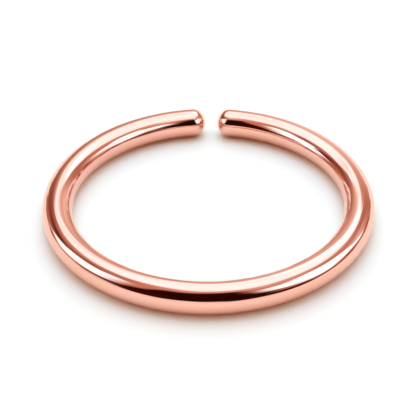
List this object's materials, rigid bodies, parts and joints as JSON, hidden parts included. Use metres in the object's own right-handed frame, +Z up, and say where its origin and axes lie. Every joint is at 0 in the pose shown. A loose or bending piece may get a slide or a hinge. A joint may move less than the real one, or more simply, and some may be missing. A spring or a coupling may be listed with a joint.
{
  "type": "nose ring",
  "caption": "Plain open hoop of polished round wire in rose gold, with rounded ends that nearly meet, worn through a piercing in the side of the nose.",
  "frame": {"origin": "on the surface that the hoop lies on, under the middle of its hole", "axes": "+Z up, square to the hoop's plane; +Y to the middle of the gap between the ends; +X across the hoop"},
  "size_m": [0.011, 0.011, 0.001],
  "materials": {
    "rose_gold": "polished rose gold, mirror bright, with the faint lines that polishing leaves along the wire"
  },
  "bodies": {
    "root": {"hoop": "rose_gold"}
  },
  "joints": []
}
